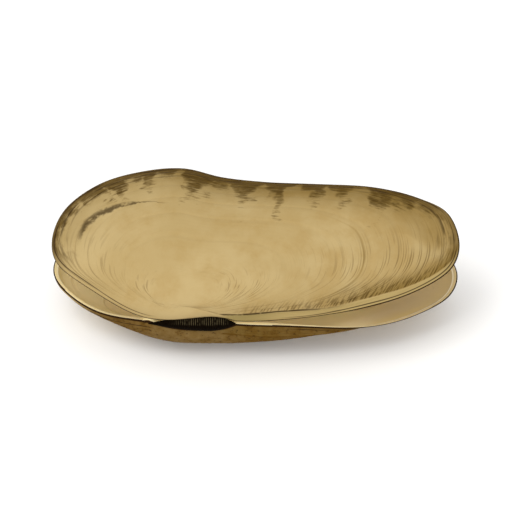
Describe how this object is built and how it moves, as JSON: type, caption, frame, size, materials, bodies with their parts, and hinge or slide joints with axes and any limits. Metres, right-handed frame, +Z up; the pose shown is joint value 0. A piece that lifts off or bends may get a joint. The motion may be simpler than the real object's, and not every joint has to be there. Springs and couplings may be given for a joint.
{
  "type": "bivalve shell",
  "caption": "Long kidney-shaped freshwater bivalve shell lying gaping on its side, thin hollow valves held at the hinge by a dark striated ligament.",
  "frame": {"origin": "on the floor under the middle of the shell's box", "axes": "+X along the shell's length from the blunt front end to the rear end, +Y from the hinge to the gaping belly side, +Z up"},
  "size_m": [0.12, 0.0532, 0.0391],
  "materials": {
    "upper_shell": "matte ochre shell with fine growth lines and brown mottling at the belly edge, cream inside",
    "lower_shell": "matte ochre shell with fine growth lines, browner on the hinge side, cream inside",
    "ligament": "dark brown, horny, finely cross striated"
  },
  "bodies": {
    "root": {"right_valve": "upper_shell", "left_valve": "lower_shell", "ligament": "ligament"}
  },
  "joints": []
}
